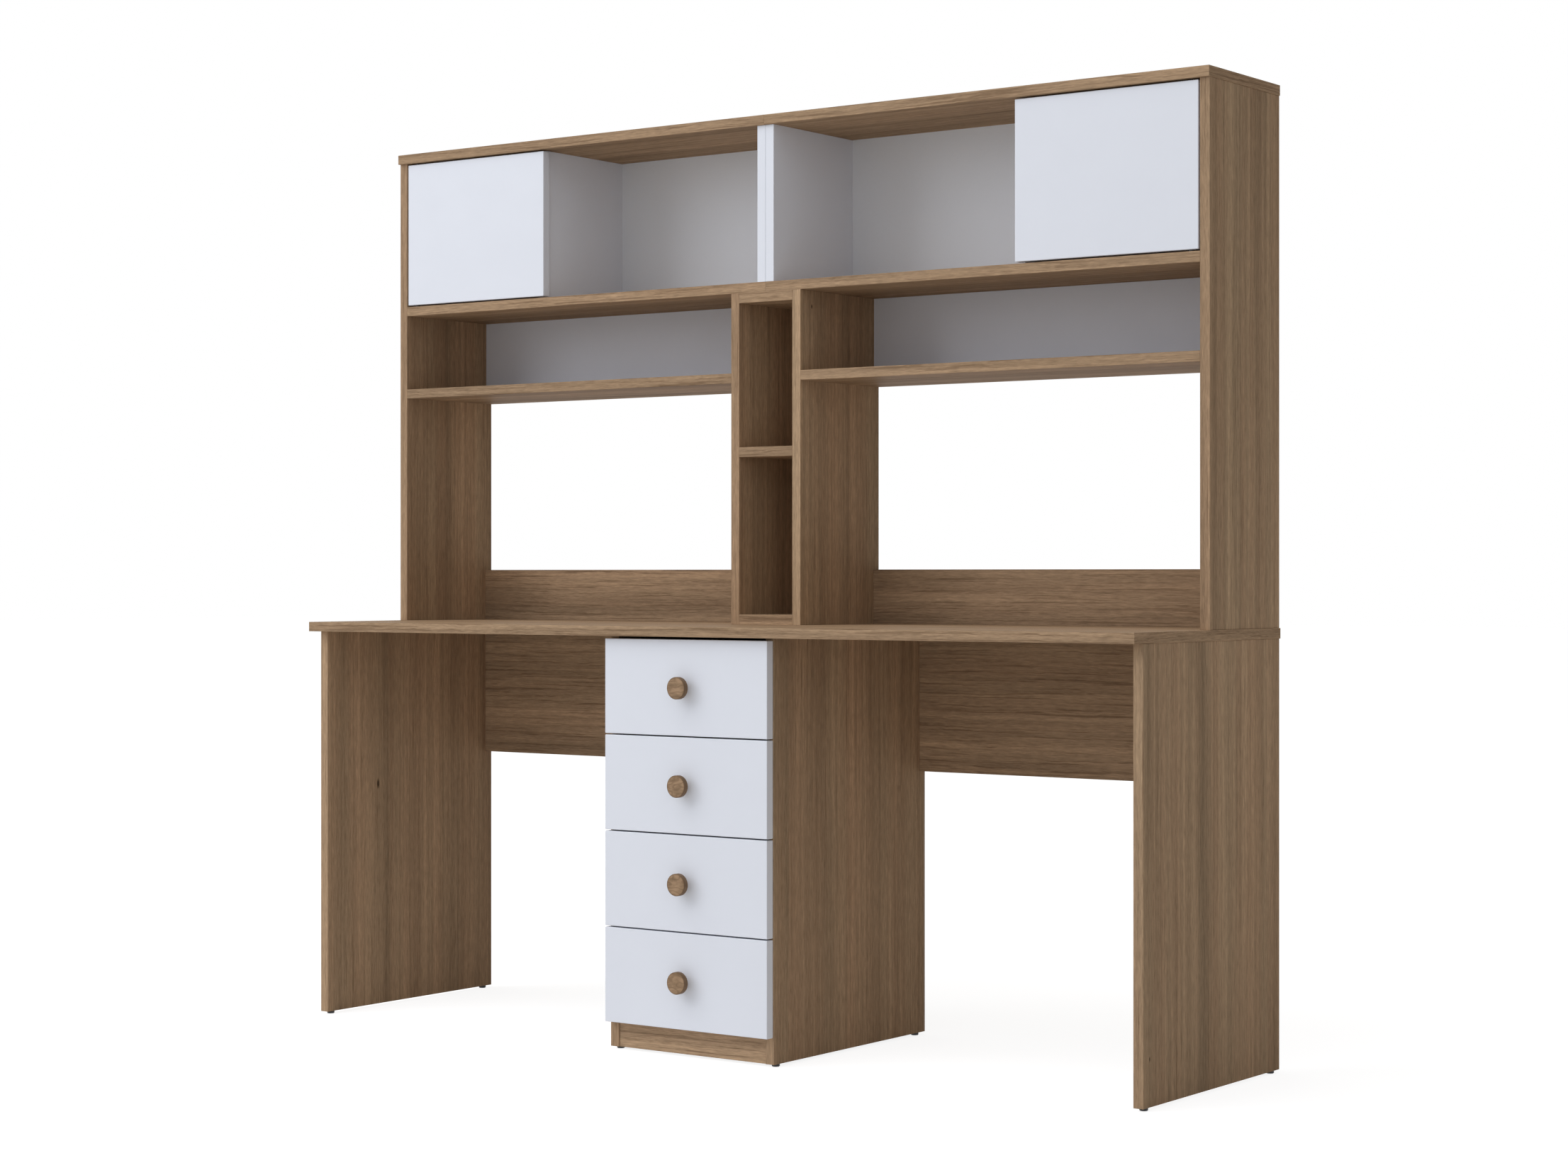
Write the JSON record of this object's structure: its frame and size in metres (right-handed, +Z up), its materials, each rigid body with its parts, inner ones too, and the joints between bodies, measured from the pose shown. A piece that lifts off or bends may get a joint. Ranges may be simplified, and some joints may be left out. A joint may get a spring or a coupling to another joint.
{
  "type": "student desk with hutch",
  "caption": "Long walnut and white desk for two with a middle drawer pedestal and a shelved hutch with closed cabinets, open shelves and a narrow middle column.",
  "frame": {"origin": "on the floor under the middle of the whole desk", "axes": "+X along the desktop to the right, +Y to the back, +Z up"},
  "size_m": [1.8, 0.5164, 1.675],
  "materials": {
    "walnut_board": "satin wood-grain melamine",
    "white_board": "satin white melamine",
    "white_hardboard": "white lacquered hardboard",
    "knob_wood": "turned and oiled wood",
    "dowel_wood": "bare beech",
    "black_plastic": "moulded",
    "runner_steel": "white coated",
    "roller_nylon": "moulded",
    "dark_steel": "blackened",
    "bright_steel": "plated"
  },
  "bodies": {
    "desk": {"column_back": "walnut_board", "column_end_boards": "walnut_board", "column_middle_shelf": "walnut_board", "desktop": "walnut_board", "door_catches": "bright_steel", "door_pivot_pins": "dark_steel", "floor_glides": "black_plastic", "left_back_rail": "walnut_board", "left_cabinet_back": "white_hardboard", "left_cabinet_divider": "white_board", "left_cabinet_floor": "walnut_board", "left_centre_upright": "white_board", "left_column_side": "walnut_board", "left_hutch_side": "walnut_board", "left_hutch_top": "walnut_board", "left_leg_panel": "walnut_board", "left_modesty_panel": "walnut_board", "left_open_shelf": "walnut_board", "left_pedestal_side": "walnut_board", "left_shelf_back": "white_board", "pedestal_back": "white_hardboard", "pedestal_plinth": "walnut_board", "right_back_rail": "walnut_board", "right_cabinet_back": "white_hardboard", "right_cabinet_divider": "white_board", "right_cabinet_floor": "walnut_board", "right_centre_upright": "white_board", "right_column_side": "walnut_board", "right_hutch_side": "walnut_board", "right_hutch_top": "walnut_board", "right_leg_panel": "walnut_board", "right_modesty_panel": "walnut_board", "right_open_shelf": "walnut_board", "right_pedestal_side": "walnut_board", "right_shelf_back": "white_board", "runner_front_rollers": "roller_nylon", "runner_rails": "runner_steel", "wood_dowels": "dowel_wood"},
    "drawer_1": {"drawer_1_bottom": "white_hardboard", "drawer_1_box": "white_board", "drawer_1_front": "white_board", "drawer_1_knob": "knob_wood", "drawer_1_runners": "runner_steel"},
    "drawer_2": {"drawer_2_bottom": "white_hardboard", "drawer_2_box": "white_board", "drawer_2_front": "white_board", "drawer_2_knob": "knob_wood", "drawer_2_runners": "runner_steel"},
    "drawer_3": {"drawer_3_bottom": "white_hardboard", "drawer_3_box": "white_board", "drawer_3_front": "white_board", "drawer_3_knob": "knob_wood", "drawer_3_runners": "runner_steel"},
    "drawer_4": {"drawer_4_bottom": "white_hardboard", "drawer_4_box": "white_board", "drawer_4_front": "white_board", "drawer_4_knob": "knob_wood", "drawer_4_runners": "runner_steel"},
    "left_door": {"left_door": "white_board"},
    "right_door": {"right_door": "white_board"}
  },
  "joints": [
    {"name": "drawer_1_slide", "type": "slide", "parent": "desk", "child": "drawer_1", "axis": [0, -1, 0], "range_m": [0, 0.33]},
    {"name": "drawer_2_slide", "type": "slide", "parent": "desk", "child": "drawer_2", "axis": [0, -1, 0], "range_m": [0, 0.33]},
    {"name": "drawer_3_slide", "type": "slide", "parent": "desk", "child": "drawer_3", "axis": [0, -1, 0], "range_m": [0, 0.33]},
    {"name": "drawer_4_slide", "type": "slide", "parent": "desk", "child": "drawer_4", "axis": [0, -1, 0], "range_m": [0, 0.33]},
    {"name": "left_door_hinge", "type": "hinge", "parent": "desk", "child": "left_door", "pos_m": [-0.86019, 0.01425, 1.5155], "axis": [0, 0, -1], "range_deg": [0, 110]},
    {"name": "right_door_hinge", "type": "hinge", "parent": "desk", "child": "right_door", "pos_m": [0.86019, 0.01425, 1.5155], "axis": [0, 0, 1], "range_deg": [0, 110]}
  ]
}
